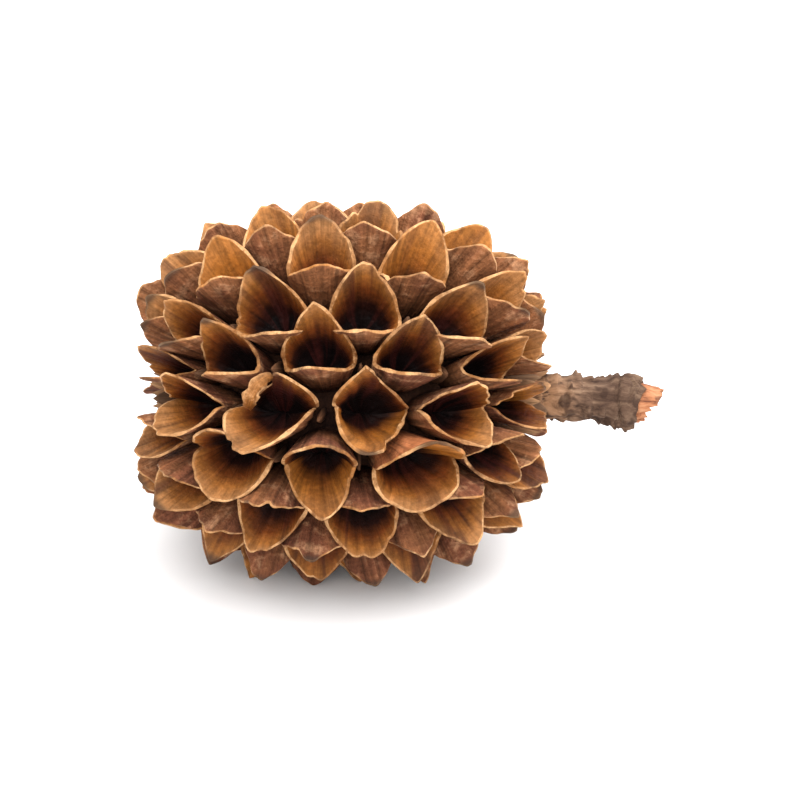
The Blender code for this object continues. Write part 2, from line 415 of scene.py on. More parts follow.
class Shader:
    """The node tree of one material, with its Principled shader."""

    def __init__(self, name: str, specular: float = 0.3) -> None:
        """Makes the material.

        Args:
            name: The material's name.
            specular: The shader's specular level, the same all over.
        """
        self.material = bpy.data.materials.new(name)
        self.material.use_nodes = True
        self.tree = self.material.node_tree
        self.tree.nodes.clear()
        self.surface = self.tree.nodes.new("ShaderNodeBsdfPrincipled")
        self.surface.inputs["Specular IOR Level"].default_value = specular
        output = self.tree.nodes.new("ShaderNodeOutputMaterial")
        self.tree.links.new(self.surface.outputs["BSDF"], output.inputs["Surface"])

    def node(
        self, kind: str, settings: dict[str, object], sockets: dict[object, object], output: int = 0
    ) -> Wire:
        """Adds any node.

        Args:
            kind: The node's type.
            settings: Its properties, set before its sockets.
            sockets: Values or wires by the socket's index, name or identifier.
            output: The index of the output that is wanted.

        Returns:
            That output.
        """
        made = self.tree.nodes.new(kind)
        for key, value in settings.items():
            if key == "stops":
                self._set_stops(made.color_ramp, value)
            else:
                setattr(made, key, value)
        for key, value in sockets.items():
            self._feed(self._socket(made, key), value)
        return Wire(self, made.outputs[output])

    @staticmethod
    def _set_stops(ramp: bpy.types.ColorRamp, stops: list[tuple[float, Colour]]) -> None:
        """Gives a colour ramp its stops.

        Args:
            ramp: The ramp, fresh from its node.
            stops: The place and the colour of each stop, in order.
        """
        while len(ramp.elements) < len(stops):
            ramp.elements.new(1.0)
        for element, (place, colour) in zip(ramp.elements, stops):
            element.position = place
            element.color = (*colour, 1.0)

    @staticmethod
    def _socket(made: bpy.types.Node, key: object) -> bpy.types.NodeSocket:
        """Finds an input socket.

        Args:
            made: The node.
            key: The socket's index, identifier or name.

        Returns:
            The socket.
        """
        if isinstance(key, int):
            return made.inputs[key]
        for socket in made.inputs:
            if socket.identifier == key:
                return socket
        return made.inputs[key]

    def _feed(self, socket: bpy.types.NodeSocket, value: object) -> None:
        """Links a wire to a socket, or sets a plain value on it.

        Args:
            socket: The input socket.
            value: The wire, number, vector or colour.
        """
        if isinstance(value, Wire):
            self.tree.links.new(value.socket, socket)
        elif socket.type == "RGBA" and len(value) == 3:
            socket.default_value = (*value, 1.0)
        else:
            socket.default_value = value

    def number(self, name: str) -> Wire:
        """The number painted on the mesh under a name."""
        return self.node("ShaderNodeAttribute", {"attribute_name": name}, {}, output=2)

    def vector(self, name: str) -> Wire:
        """The vector painted on the mesh under a name."""
        return self.node("ShaderNodeAttribute", {"attribute_name": name}, {}, output=1)

    def place(self) -> Wire:
        """The place on the object, in metres."""
        return self.node("ShaderNodeTexCoord", {}, {}, output=3)

    def stretched(self, vector: Wire, scale: tuple[float, float, float]) -> Wire:
        """A pattern's coordinates, scaled along each axis."""
        return self.node("ShaderNodeMapping", {}, {"Vector": vector, "Scale": scale})

    def noise(
        self, vector: Wire, scale: float, detail: float = 3.0, rough: float = 0.5, twist: float = 0.0
    ) -> Wire:
        """A cloud of soft random values.

        Args:
            vector: Where to read the pattern.
            scale: How many features there are in a unit of the vector.
            detail: How many finer layers are added.
            rough: How strong the finer layers are.
            twist: How far the pattern is distorted.

        Returns:
            Values around a half.
        """
        return self.node(
            "ShaderNodeTexNoise",
            {},
            {"Vector": vector, "Scale": scale, "Detail": detail, "Roughness": rough,
             "Distortion": twist},
        )

    def band(self, value: Wire, low: float, high: float) -> Wire:
        """0 where a value is below low, 1 where it is above high, and smooth in between."""
        sockets = {"Value": value, "From Min": low, "From Max": high}
        return self.node("ShaderNodeMapRange", {"interpolation_type": "SMOOTHSTEP"}, sockets)

    def ramp(self, value: Wire, stops: list[tuple[float, Colour]]) -> Wire:
        """A colour that changes with a value."""
        return self.node("ShaderNodeValToRGB", {"stops": stops}, {"Fac": value})

    def mix(self, share: object, first: object, second: object, blend: str = "MIX") -> Wire:
        """Two colours mixed.

        Args:
            share: The share of the second colour, a wire or a number.
            first: The first colour.
            second: The second colour.
            blend: How the second is laid on the first.

        Returns:
            The mixed colour.
        """
        return self.node(
            "ShaderNodeMix",
            {"data_type": "RGBA", "blend_type": blend},
            {"Factor_Float": share, "A_Color": first, "B_Color": second},
            output=2,
        )

    def shaded(self, colour: Wire, noise: Wire, lights: Lights, start: float = 0.32) -> Wire:
        """Darkens and lightens a colour with a noise.

        Args:
            colour: The colour.
            noise: The noise, as values around a half.
            lights: How much of this shows, and its lights where the noise is low and high.
            start: The value up to which the noise is low.

        Returns:
            The changed colour.
        """
        share, low, high = lights
        light = self.ramp(noise, [(start, (low,) * 3), (1 - start, (high,) * 3)])
        return self.mix(share, colour, light, "MULTIPLY")

    def finish(
        self, colour: Wire, roughness: object, height: Wire, depth: float
    ) -> bpy.types.Material:
        """Wires the shader.

        Args:
            colour: The base colour.
            roughness: The roughness, a wire or a number.
            height: The relief, as values around a half.
            depth: How deep the relief is, in metres, from value 0 to 1.

        Returns:
            The finished material.
        """
        self._feed(self.surface.inputs["Base Color"], colour)
        self._feed(self.surface.inputs["Roughness"], roughness)
        relief = {"Strength": 1.0, "Distance": depth, "Height": height}
        self._feed(self.surface.inputs["Normal"], self.node("ShaderNodeBump", {}, relief))
        return self.material


# Finishes


@dataclass(frozen=True)
class ValveFinish:
    """The woody valves: tan and smooth inside, pinkish and fibrous outside, with pale rims."""

    # The first five colours make the inside's ramp, which paints the hollow's shade: near black deep
    # down, tan at the rim.
    floor_colour: Colour = (0.005, 0.0020, 0.0020)
    deep_shade_colour: Colour = (0.022, 0.0050, 0.0026)
    brown_colour: Colour = (0.148, 0.037, 0.0068)
    golden_colour: Colour = (0.305, 0.110, 0.023)
    tan_colour: Colour = (0.41, 0.185, 0.066)
    honey_colour: Colour = (0.44, 0.152, 0.022)
    purple_colour: Colour = (0.050, 0.010, 0.008)
    mauve_colour: Colour = (0.19, 0.067, 0.034)
    back_colour: Colour = (0.31, 0.124, 0.051)
    downy_colour: Colour = (0.44, 0.233, 0.122)
    fresh_colour: Colour = (0.50, 0.165, 0.060)
    # Painted shade at the valves' roots, in the gaps between the cups.
    root_shade_colour: Colour = (0.028, 0.0075, 0.004)
    rim_colour: Colour = (0.55, 0.305, 0.138)
    burnt_colour: Colour = (0.038, 0.024, 0.017)
    streak_scale: float = 3600.0
    cloud_scale: float = 420.0
    # The pairs are where a value starts to show a colour, and where it shows it in full.
    honey_tints: Pair = (0.84, 0.94)
    honey_depths: Pair = (0.35, 0.70)
    stripe_streaks: Pair = (0.48, 0.60)
    plain_flanks: Pair = (0.30, 0.90)
    plain_tints: Pair = (0.55, 0.80)
    back_clouds: Pair = (0.36, 0.64)
    downy_patches: Pair = (0.50, 0.66)
    fresh_tints: Pair = (0.99, 1.0)
    above_root: Pair = (0.05, 0.58)
    worn_rims: Pair = (0.25, 1.15)
    worn_clouds: Pair = (0.40, 0.60)
    rim_fade: Pair = (0.02, 0.30)
    scorched_tips: Pair = (0.30, 0.95)
    burnt_fade: Pair = (0.02, 0.20)
    inner_streaks: Lights = (0.70, 0.30, 1.20)
    back_streaks: Lights = (0.90, 0.25, 1.25)
    patches: Lights = (0.60, 0.60, 1.22)
    specks: Lights = (0.50, 0.62, 1.20)
    relief: float = 0.10 * MM

    def material(self) -> bpy.types.Material:
        """Makes the material.

        Returns:
            The material.
        """
        shader = Shader("valve_wood", specular=0.12)
        rise, outer, rim = shader.number("rise"), shader.number("outer"), shader.number("rim")
        flank, burnt, tone_and_light = shader.number("flank"), shader.number("burnt"), shader.number("tone_and_light")
        grain, place = shader.vector("grain"), shader.place()
        streaks = shader.noise(shader.stretched(grain, (1, 1, 0.06)), self.streak_scale, 5.0, 0.65)
        wide = shader.noise(shader.stretched(grain, (1, 1, 0.12)), self.streak_scale / 3.2, 2.0)
        cloud = shader.noise(place, self.cloud_scale, 3.0)
        patch = shader.noise(place, 3 * self.cloud_scale, 4.0, 0.6)
        fine = shader.noise(place, 12 * self.cloud_scale, 3.0, 0.65)

        # Inside: painted shade, near black deep in the hollow and tan at the rim, with purple stripes
        # The depth sets the painted shade of the hollow: darker deep down, lighter where the tone is
        # high.
        depth = (rise + 0.36 * (cloud - 0.5) + 0.26 * (wide - 0.5) + 0.40 * (tone_and_light - 0.5)).clamped()
        inner = shader.ramp(
            depth,
            [(0.22, self.floor_colour), (0.40, self.deep_shade_colour), (0.60, self.brown_colour),
             (0.80, self.golden_colour), (1.0, self.tan_colour)],
        )
        honey = shader.band(tone_and_light, *self.honey_tints) * shader.band(depth, *self.honey_depths)
        inner = shader.mix(0.75 * honey, inner, self.honey_colour)
        stripes = shader.band(wide, *self.stripe_streaks) * (1 - shader.band(flank, *self.plain_flanks))
        stripes = stripes * (0.80 - 0.45 * shader.band(tone_and_light, *self.plain_tints))
        inner = shader.mix(stripes, inner, self.purple_colour)
        inner = shader.shaded(inner, streaks, self.inner_streaks)

        # Outside: mauve and brown, downy in patches, with painted shade at the root between the cups
        shade = shader.band(cloud + 0.30 * (tone_and_light - 0.5), *self.back_clouds)
        back = shader.mix(shade, self.mauve_colour, self.back_colour)
        back = shader.mix(0.60 * shader.band(patch, *self.downy_patches), back, self.downy_colour)
        back = shader.mix(0.80 * shader.band(tone_and_light, *self.fresh_tints), back, self.fresh_colour)
        back = shader.mix(0.9 - 0.9 * shader.band(rise, *self.above_root), back, self.root_shade_colour)
        back = shader.shaded(back, streaks, self.back_streaks)

        # Both, with worn pale rims and scorched tips
        colour = shader.mix(outer, inner, back)
        edge = shader.band(rim + 1.8 * (patch - 0.5) + 0.9 * (fine - 0.5), *self.worn_rims)
        worn = shader.band(shader.noise(place, 1.7 * self.cloud_scale, 2.0), *self.worn_clouds)
        edge = edge * (0.26 + 0.70 * worn) * shader.band(rim, *self.rim_fade)
        colour = shader.mix(edge, colour, self.rim_colour)
        colour = shader.shaded(colour, patch, self.patches)
        colour = shader.shaded(colour, fine, self.specks)
        scorched = shader.band(burnt + 0.7 * (patch - 0.5) + 0.3 * (fine - 0.5), *self.scorched_tips)
        scorched = scorched * shader.band(burnt, *self.burnt_fade)
        colour = shader.mix(0.80 * scorched, colour, self.burnt_colour)
        roughness = 0.55 + 0.28 * outer + 0.20 * (fine - 0.5)
        height = streaks * (0.50 + 0.80 * outer) + 0.55 * fine + 1.5 * patch * outer + 0.5 * patch * rim
        return shader.finish(colour, roughness, height, self.relief)


@dataclass(frozen=True)
class CoreFinish:
    """The rough dark floor between the cups."""

    dark_colour: Colour = (0.010, 0.004, 0.003)
    light_colour: Colour = (0.055, 0.022, 0.011)
    scale: float = 1400.0
    relief: float = 0.18 * MM

    def material(self) -> bpy.types.Material:
        """Makes the material.

        Returns:
            The material.
        """
        shader = Shader("core_wood", specular=0.15)
        rough = shader.noise(shader.place(), self.scale, 5.0, 0.65)
        colour = shader.ramp(rough, [(0.35, self.dark_colour), (0.72, self.light_colour)])
        return shader.finish(colour, 0.9, rough, self.relief)


@dataclass(frozen=True)
class ScaleFinish:
    """The small bracts and sterile scales: dull, downy and pinkish brown."""

    low_colour: Colour = (0.028, 0.011, 0.006)
    high_colour: Colour = (0.18, 0.080, 0.038)
    grey_colour: Colour = (0.13, 0.074, 0.044)
    tip_colour: Colour = (0.35, 0.19, 0.092)
    scale: float = 3200.0
    streaks: Lights = (0.9, 0.35, 1.2)
    relief: float = 0.06 * MM

    def material(self) -> bpy.types.Material:
        """Makes the material.

        Returns:
            The material.
        """
        shader = Shader("scale_wood", specular=0.15)
        rise, tone_and_light, grain = shader.number("rise"), shader.number("tone_and_light"), shader.vector("grain")
        fibres = shader.noise(shader.stretched(grain, (1, 1, 0.12)), self.scale, 4.0, 0.65)
        cloud = shader.noise(shader.place(), self.scale / 5, 3.0)
        colour = shader.ramp(
            (rise + 0.3 * (cloud - 0.5)).clamped(),
            [(0.0, self.low_colour), (0.55, self.high_colour), (1.0, self.tip_colour)],
        )
        colour = shader.mix(shader.band(tone_and_light + 0.4 * (cloud - 0.5), 0.5, 0.9), colour, self.grey_colour)
        colour = shader.shaded(colour, fibres, self.streaks, 0.30)
        return shader.finish(colour, 0.88, fibres, self.relief)


@dataclass(frozen=True)
class BarkFinish:
    """The stalk's bark: grey-brown, cracked lengthwise, warmer near the cone."""

    dark_colour: Colour = (0.032, 0.016, 0.010)
    grey_colour: Colour = (0.14, 0.080, 0.050)
    pale_colour: Colour = (0.32, 0.205, 0.130)
    warm_colour: Colour = (0.31, 0.152, 0.070)
    far_colour: Colour = (0.040, 0.022, 0.016)
    scale: float = 2400.0
    relief: float = 0.16 * MM

    def material(self) -> bpy.types.Material:
        """Makes the material.

        Returns:
            The material.
        """
        shader = Shader("stalk_bark", specular=0.15)
        rise, place = shader.number("rise"), shader.place()
        cracks = shader.noise(shader.stretched(place, (0.28, 1, 1)), self.scale, 5.0, 0.68, 0.4)
        cloud = shader.noise(place, self.scale / 4, 3.0)
        stops = [(0.33, self.dark_colour), (0.50, self.grey_colour), (0.70, self.pale_colour)]
        colour = shader.ramp(cracks, stops)
        near = 1 - shader.band(rise + 0.5 * (cloud - 0.5), 0.15, 0.60)
        warmth = near * shader.band(cracks, 0.35, 0.55)
        colour = shader.mix(0.75 * warmth, colour, self.warm_colour)
        knots = shader.noise(place, self.scale / 1.8, 2.0)
        colour = shader.mix(0.75 * shader.band(knots, 0.54, 0.64), colour, self.dark_colour)
        far = shader.band(rise + 0.3 * (cloud - 0.5), 0.48, 0.80)
        colour = shader.mix(0.55 * far, colour, self.far_colour)
        return shader.finish(colour, 0.92, cracks + 0.8 * knots, self.relief)


@dataclass(frozen=True)
class BrokenWoodFinish:
    """The fresh wood where the stalk broke: salmon orange and splintery."""

    dark_colour: Colour = (0.10, 0.032, 0.016)
    orange_colour: Colour = (0.33, 0.128, 0.056)
    pale_colour: Colour = (0.45, 0.235, 0.125)
    scale: float = 4200.0
    relief: float = 0.10 * MM

    def material(self) -> bpy.types.Material:
        """Makes the material.

        Returns:
            The material.
        """
        shader = Shader("broken_wood", specular=0.2)
        grain = shader.stretched(shader.place(), (0.2, 1, 1))
        fibres = shader.noise(grain, self.scale, 4.0, 0.65, 0.3)
        stops = [(0.32, self.dark_colour), (0.50, self.orange_colour), (0.72, self.pale_colour)]
        return shader.finish(shader.ramp(fibres, stops), 0.8, fibres, self.relief)


# The cone


class Wall(Enum):
    """Which side of a valve a level of its mesh lies on."""

    OUTER = "outer"
    RIM = "rim"
    INNER = "inner"


@dataclass(frozen=True)
class Quirk:
    """How one cup differs from its neighbours, upper valve first where there are two values."""

    ring_shift: float = 0.0
    tip_shares: Pair = (1.0, 1.0)
    arch_shares: Pair = (1.0, 1.0)
    # The two valves' tones, which also paint light and shade on their insides.
    tones_and_lights: Pair | None = None
    length_share: float = 1.0
    leans: Pair = (0.0, 0.0)
    # A broken edge: 0 for the upper valve or 1 for the lower, from where, to where, how deep.
    breaks: tuple[tuple[int, float, float, float], ...] = ()


@dataclass(frozen=True)
class Row:
    """How the cups of one column are shaped, upper valve first where there are two values."""

    shift: float = 0.0
    width_shares: Pair = (1.0, 1.0)
    plan_shares: Pair = (1.0, 1.0)
    length_share: float = 1.0
    ragged_share: float = 1.0
    arch_share: float = 1.0
    blunt_share: float = 1.0
    # The tone of the column's insides, which also paints light on the top columns and shade on the
    # lowest.
    tone_and_light: float | None = None


@dataclass
class Cups:
    """The woody cups, each a pair of thin pointed valves round a deep hollow."""

    seed: int = 11
    height_spread: float = 0.055
    shift_spread: float = 0.02
    twist_spread: float = 0.05
    look_seed: int = 5
    sides: int = 88
    outer_levels: int = 10
    inner_levels: int = 13
    floor_levels: int = 3
    outer_level_power: float = 1.6
    inner_level_power: float = 1.5
    rim_half_widths: Pair = (0.63, 0.54)
    rim_half_length: float = 0.77
    rim_spread: float = 0.08
    rim_crown: float = 0.018
    rim_side: float = 0.425
    lean_spread: float = 0.13
    curl_spread: float = 0.07
    even_rings_half: float = 2.5
    end_rings: int = 2
    end_roundness: float = 0.8
    foot_half_width: float = 0.50
    foot_half_length: float = 0.66
    foot_belly: float = 0.8
    hollow_half_width: float = 0.10
    hollow_half_length: float = 0.30
    hollow_belly: float = 0.36
    hollow_dip: float = 0.05
    root_height: float = -0.08
    hollow_height: float = 0.10
    notch_height: float = 0.46
    notch_wave: float = 0.04
    plan_powers: Pair = (1.55, 1.95)
    plan_spread: float = 0.10
    hollow_plan_power: float = 1.8
    arch_power: float = 1.6
    arch_spread: float = 0.22
    bluntness: Pair = (0.04, 0.30)
    break_slope: float = 0.10
    nicks: int = 2
    nick_share: float = 0.45
    nick_depth: float = 0.12
    nick_widths: Pair = (0.07, 0.16)
    wall: float = 0.21 * MM
    wall_at_foot: float = 0.42 * MM
    seam_depth: float = 0.05
    seam_width: float = 0.012
    ragged: Waves = (range(3, 9), 0.020)
    fringe: Waves = (range(9, 21), 0.012)
    swell: Waves = (range(2, 6), 0.036)
    uneven_wall: Waves = (range(4, 15), 0.34)
    ridges: Waves = (range(14, 34), 0.020)
    ribs: Waves = (range(7, 19), 0.018)
    uneven_rim: Waves = (range(2, 9), 0.20)
    # Between which rises, 0 at the foot and 1 at the rim, each of these sets in.
    curl_rise: Pair = (0.55, 1.1)
    thin_rise: Pair = (0, 0.75)
    ridge_fade: Pair = (0.7, 1.0)
    shift_rise: Pair = (0, 0.8)
    burnt_rise: Pair = (0.82, 1.02)
    # How long the grain's pattern is across a cup, along it and up its valves.
    grain_lengths: tuple[float, float, float] = (1.9 * MM, 1.5 * MM, 3.5 * MM)
    burnt_share: float = 0.14
    # More scorched tips on the lowest columns: partly their real dark tips, partly painted shade on the
    # cone's underside.
    scorched_and_shade_share_below: float = 0.70
    low_columns: range = range(12, 17)
    tint_spread: float = 0.30

    def quirks(self) -> dict[tuple[int, int], Quirk]:
        """The cups that show something of their own.

        Returns:
            What each has of its own, by its ring and number.
        """
        # Their tones paint shade inside most upper valves and light on the lower ones.
        return {
            (3, 0): Quirk(0.10, (0.90, 1.0), (1.9, 1.9), (0.28, 0.83), 0.98, (0.15, -0.20),
                          ((0, -1.2, -0.10, 0.34), (1, -0.55, -0.30, 0.10))),
            (5, 0): Quirk(0.26, (1.0, 1.0), (1.0, 0.9), (0.28, 0.90), 1.0, (-0.40, -0.20),
                          ((0, 0.15, 1.2, 0.20), (1, 0.30, 1.2, 0.24))),
            (7, 0): Quirk(0.06, (0.97, 0.97), (1.0, 1.0), (0.25, 0.86), 0.90, (0.10, 0.15),
                          ((0, -1.2, -0.45, 0.12),)),
            (1, 0): Quirk(0.05, (1.0, 0.98), (1.0, 1.9), (0.30, 0.83), 0.92),
            (4, 0): Quirk(0.05, (1.0, 1.0), (1.1, 0.70), (0.20, 0.90), 1.0, (0.0, 0.10)),
            (2, 0): Quirk(0.15, (0.95, 0.93), (1.2, 2.0), (0.30, 0.66)),
            (6, 0): Quirk(0.22, (1.0, 1.0), (1.6, 1.3), (1.0, 0.72), 1.31, (0.0, -0.15)),
        }

    def rows(self) -> dict[int, Row]:
        """The columns whose cups are shaped in a way of their own.

        Returns:
            How the cups are shaped, by column.
        """
        # The tones paint light and shade: lighter insides on the columns on top, darker on the lowest.
        lowest = {column: Row(arch_share=0.72, blunt_share=0.3, tone_and_light=0.34) for column in (13, 14, 15)}
        return lowest | {
            0: Row(0.07, (1.06, 1.0)),
            1: Row(0.20, (0.98, 1.14), (0.82, 0.90), 1.18, 1.8, blunt_share=0.5),
            2: Row(0.13, (1.0, 0.60), (1.0, 1.55), 0.94, arch_share=0.80, blunt_share=0.3, tone_and_light=0.50),
            3: Row(-0.06, (1.0, 0.90), (1.0, 1.15), blunt_share=0.6, tone_and_light=0.70),
            4: Row(arch_share=1.10, blunt_share=0.8, tone_and_light=0.80),
            5: Row(arch_share=1.10, blunt_share=0.8, tone_and_light=0.82),
            6: Row(tone_and_light=0.75),
            16: Row(arch_share=0.75, blunt_share=0.4, tone_and_light=0.36),
            17: Row(0.06, arch_share=0.90, blunt_share=0.6, tone_and_light=0.45),
        }

    def levels(self) -> list[tuple[Wall, float]]:
        """The levels of a cup's mesh, from its root up the outside and down to its hollow.

        Returns:
            The side of the valve and the rise, 0 at the foot and 1 at the rim, of each.
        """
        up = [(Wall.OUTER, 1 - (1 - k / (self.outer_levels - 1)) ** self.outer_level_power)
              for k in range(self.outer_levels)]
        over = [(Wall.RIM, 1.0)] * 3
        down = [(Wall.INNER, 1 - (k / (self.inner_levels - 1)) ** self.inner_level_power)
                for k in range(self.inner_levels)]
        floor = [(Wall.INNER, -(k + 1) / (self.floor_levels + 1)) for k in range(self.floor_levels)]
        return up + over + down + floor

    def draws(self) -> dict[tuple[int, int], dict[str, np.ndarray]]:
        """The tip heights, shift and twist of every cup, drawn as for the solids.

        Returns:
            Each cup's values by their names, by the cup's ring and number.
        """
        draw = random.Random(self.seed)
        found = {}
        for ring in range(LATTICE.rings):
            for number in range(LATTICE.cups_in_ring):
                found[ring, number] = {
                    "tips": around(draw, 1, self.height_spread),
                    "shift": around(draw, 0, self.shift_spread),
                    "twist": around(draw, 0, self.twist_spread, 1),
                }
        return found

    def plan(self, angle: np.ndarray, power: np.ndarray) -> tuple[np.ndarray, np.ndarray]:
        """Shares of a cup's half-width and half-length at angles round its plan.

        Args:
            angle: The angles, 0 at one valve's tip and pi at the other's.
            power: The plan's power: 1 is a diamond and 2 is round.

        Returns:
            The shares across the column and along it.
        """
        across = np.copysign(np.abs(np.cos(angle)) ** (2 / power), np.cos(angle))
        along = np.copysign(np.abs(np.sin(angle)) ** (2 / power), np.sin(angle))
        return across, along

    def edge(
        self, angle: np.ndarray, rim_along: np.ndarray, tip: np.ndarray, ring: int, row: Row,
        quirk: Quirk, draw: random.Random,
    ) -> tuple[np.ndarray, np.ndarray]:
        """The edge of a cup's valves: an arch up to each tip, broken and nicked.

        Args:
            angle: The angles round the cup.
            rim_along: The rim's share of the cup's half-length at each.
            tip: The height of the valve's tip at each.
            ring: The cup's ring.
            row: How the cups of its column are shaped.
            quirk: What it has of its own.
            draw: The random source.

        Returns:
            The edge's height, and its place on the arch, 0 at a notch and 1 at a tip.
        """
        valve = (np.cos(angle) < 0).astype(int)
        end = max(0.0, abs(ring - (LATTICE.rings - 1) / 2) - self.even_rings_half) / self.end_rings
        mean_power = self.arch_power * row.arch_share + self.end_roundness * end
        arch_power = (mean_power * around(draw, 1, self.arch_spread) * quirk.arch_shares)[valve]
        notch = self.notch_height + self.notch_wave * np.sin(angle + draw.uniform(0, PHASES))
        blunt = row.blunt_share * np.array([draw.uniform(*self.bluntness) for _ in range(2)])[valve]
        away = np.hypot(np.minimum(1, np.abs(rim_along)), blunt) - blunt
        arch = np.clip(1 - away / (np.hypot(1, blunt) - blunt), 0, 1) ** (1 / arch_power)
        height = notch + (tip - notch) * arch
        slope = self.break_slope
        for broken, first, last, depth in quirk.breaks:
            within = smooth_step(first, first + slope, rim_along)
            within = within * (1 - smooth_step(last - slope, last, rim_along))
            height = height - depth * within * (valve == broken)
        for _ in range(self.nicks):
            place, width = draw.uniform(-math.pi, math.pi), draw.uniform(*self.nick_widths)
            depth = draw.uniform(0.3, 1.0) * self.nick_depth * (draw.random() < self.nick_share)
            height = height - depth * np.exp(-((angle_from(place, angle) / width) ** 2))
        return height, arch

    def shape(
        self, cup: bpy.types.Object, column: int, ring: int, drawn: dict[str, np.ndarray],
        quirk: Quirk, draw: random.Random,
    ) -> None:
        """Moves a copy of the plain tube to one cup's place and paints it.

        Args:
            cup: The fresh tube.
            column: The cup's column.
            ring: The cup's ring.
            drawn: Its tip heights, shift and twist.
            quirk: What it has of its own.
            draw: The random source for its finer form.
        """
        angle, level, on_wall = tube_places(cup)
        table = self.levels()
        rise = np.array([rise for _, rise in table])[level]
        outer = np.array([float(wall is Wall.OUTER) for wall, _ in table])[level]
        is_rim = np.array([wall is Wall.RIM for wall, _ in table])[level]
        rim_step = level - self.outer_levels - 1
        up = np.clip(rise, 0, 1)
        is_hollow = (outer == 0) & ~is_rim
        valve = (np.cos(angle) < 0).astype(int)
        row = self.rows().get(column, Row())

        # The edge, and the shape of the plan from the hollow up to it
        ragged = waves(angle, draw, *self.ragged) + waves(angle, draw, *self.fringe)
        swell = waves(angle, draw, *self.swell)
        rim_power = (around(draw, 1, self.plan_spread) * self.plan_powers * row.plan_shares)[valve]
        power = self.hollow_plan_power + (rim_power - self.hollow_plan_power) * up
        across, along = self.plan(angle, power)
        rim_across, rim_along = self.plan(angle, rim_power)
        tip = (drawn["tips"] * quirk.tip_shares)[valve]
        edge, arch = self.edge(angle, rim_along, tip, ring, row, quirk, draw)
        edge = edge + ragged * row.ragged_share

        # How wide and long the cup is at each level
        hollow = (self.hollow_half_width, self.hollow_half_length, self.hollow_height)
        foot = (self.foot_half_width, self.foot_half_length, self.root_height)
        low_width, low_length, low_height = np.where(is_hollow[:, None], hollow, foot).T
        belly = up ** np.where(is_hollow, self.hollow_belly, self.foot_belly)
        spreads = around(draw, 1, self.rim_spread, 3)
        rim_half_width = (spreads[:2] * self.rim_half_widths * row.width_shares)[valve]
        rim_half_length = self.rim_half_length * spreads[2] * row.length_share * quirk.length_share
        half_width = low_width + (rim_half_width - low_width) * belly
        half_length = low_length + (rim_half_length - low_length) * belly
        curl = around(draw, 0, self.curl_spread)[valve]
        half_width = half_width + curl * smooth_step(*self.curl_rise, up) * arch
        lean = (around(draw, 0, self.lean_spread) + quirk.leans)[valve]

        # The wall's thickness, its ridges outside and its ribs inside
        thick = self.wall_at_foot + (self.wall - self.wall_at_foot) * smooth_step(*self.thin_rise, up)
        thick = thick * (0.65 + 0.35 * np.abs(rim_along))
        thick = thick * (1 + waves(angle, draw, *self.uneven_wall))
        side = np.where(is_rim, -self.rim_side * rim_step, outer - 0.5)
        fade = outer * (1 - smooth_step(*self.ridge_fade, up))
        ridges = waves(angle, draw, *self.ridges) * fade
        seam = np.exp(-(((1 - np.abs(np.sin(angle))) / self.seam_width) ** 2))
        ribs = waves(angle, draw, *self.ribs) * is_hollow * np.sin(math.pi * up)
        grow = 1 + swell * up + ridges + ribs - self.seam_depth * seam * fade
        u = across * (half_width * grow + side * thick / LATTICE.column_width)
        v = along * (half_length * grow + side * thick / LATTICE.ring_spacing)
        v = v + lean * arch * up**2 + quirk.ring_shift * smooth_step(*self.shift_rise, up)
        height = low_height + (edge - low_height) * up + self.rim_crown * (is_rim & (rim_step == 0))

        # The hollow's floor and the two poles
        floor = np.where(rise < 0, np.clip(1 + rise, 0, 1), 1.0) * on_wall
        u, v = u * floor, v * floor
        height = np.where(rise < 0, self.hollow_height - self.hollow_dip * (1 - floor**2), height)
        pole = np.where(outer > 0, self.root_height, self.hollow_height - self.hollow_dip)
        height = np.where(on_wall > 0, height, pole)

        twist = drawn["twist"][0]
        shifted_u = u - v * twist + drawn["shift"][0] + row.shift * up
        shifted_v = v + u * twist + drawn["shift"][1]
        place_vertices(cup, LATTICE.points(column + shifted_u, ring + shifted_v, height))

        offset = [draw.uniform(0, 1) for _ in range(3)]
        paint(cup, "rise", 0.5 * up + 0.5 * np.clip(height, 0, 1))
        paint(cup, "outer", outer)
        paint(cup, "rim", is_rim * (0.85 + waves(angle, draw, *self.uneven_rim)))
        paint(cup, "flank", np.abs(rim_along))
        # Each valve's tone, which the rows and quirks also use to paint light and shade.
        tones_and_lights = np.array([draw.random(), draw.random()])
        if row.tone_and_light is not None:
            tones_and_lights = row.tone_and_light + self.tint_spread * (tones_and_lights - 0.5)
        paint(cup, "tone_and_light", np.array(quirk.tones_and_lights or tones_and_lights)[valve])
        share = self.scorched_and_shade_share_below if column in self.low_columns else self.burnt_share
        burns = np.array([draw.random() < share for _ in range(2)])[valve]
        paint(cup, "burnt", burns * smooth_step(*self.burnt_rise, height / tip))
        grain = np.stack([rim_across, rim_along, height], axis=-1) * self.grain_lengths + offset
        paint(cup, "grain", grain)

    def build(self) -> list[bpy.types.Object]:
        """Builds every cup, joined ring by ring.

        Returns:
            One object for each ring.
        """
        material = ValveFinish().material()
        plain = tube("plain_cup", self.sides, len(self.levels()), mirrored=True)
        draw = random.Random(self.look_seed)
        drawn = self.draws()
        rings = []
        for ring in range(LATTICE.rings):
            cups = []
            for number in range(LATTICE.cups_in_ring):
                cup = copy_of(plain, f"cup_{ring}_{number}")
                quirk = self.quirks().get((ring, number), Quirk())
                self.shape(cup, 2 * number + ring % 2, ring, drawn[ring, number], quirk, draw)
                cups.append(cup)
            made = joined(cups, f"cup_ring_{ring + 1}")
            finish_piece(made, material, "cone")
            rings.append(made)
        bpy.data.objects.remove(plain)
        return rings


